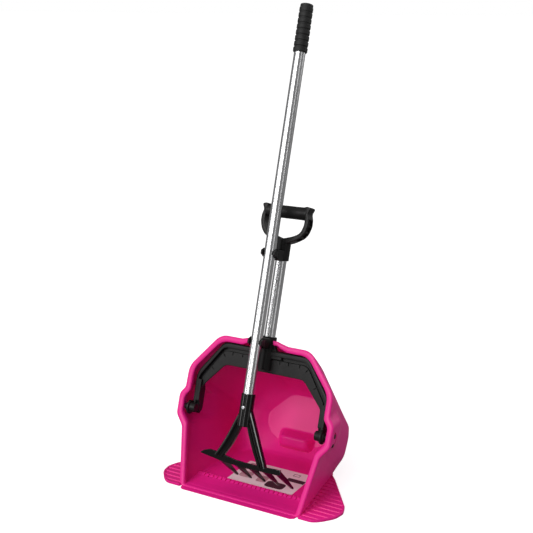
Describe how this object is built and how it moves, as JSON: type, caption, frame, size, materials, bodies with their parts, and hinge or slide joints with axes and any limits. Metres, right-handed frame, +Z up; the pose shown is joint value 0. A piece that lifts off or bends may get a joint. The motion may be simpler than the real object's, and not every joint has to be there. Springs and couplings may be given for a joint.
{
  "type": "stable scoop and rake",
  "caption": "Pink moulded stable scoop with a hinged black bail handle and D grip, and a long-handled rake clipped to the handle.",
  "frame": {"origin": "on the floor, on the scoop's middle plane, where the leaning mouth plane meets the floor", "axes": "+Z up, -Y out of the mouth, +X to the right of someone looking into the mouth"},
  "size_m": [0.442, 0.3265, 1.0267],
  "materials": {
    "bucket_plastic": "satin injection-moulded polypropylene",
    "label_paper": "printed paper sticker",
    "black_plastic": "satin moulded nylon",
    "rake_plastic": "glossy moulded plastic",
    "aluminium_tube": "drawn and anodised",
    "zinc_steel": "zinc plated",
    "grip_rubber": "matt ribbed rubber"
  },
  "bodies": {
    "scoop": {"bucket": "bucket_plastic", "floor_label": "label_paper"},
    "handle": {"bail_frame": "black_plastic", "bail_hub_screw": "zinc_steel", "handle_tube": "aluminium_tube", "d_handle": "black_plastic", "d_handle_screw": "zinc_steel"},
    "rake": {"rake_tube": "aluminium_tube", "rake_head": "rake_plastic", "rake_head_screw": "zinc_steel", "rake_grip": "grip_rubber"}
  },
  "joints": [
    {"name": "bail_pivot", "type": "hinge", "parent": "scoop", "child": "handle", "pos_m": [0, 0.0715, 0.1565], "axis": [1, 0, 0], "range_deg": [0, 90]},
    {"name": "rake_unclip", "type": "slide", "parent": "handle", "child": "rake", "axis": [0, -0.9553, 0.2957], "range_m": [0, 0.075]}
  ]
}
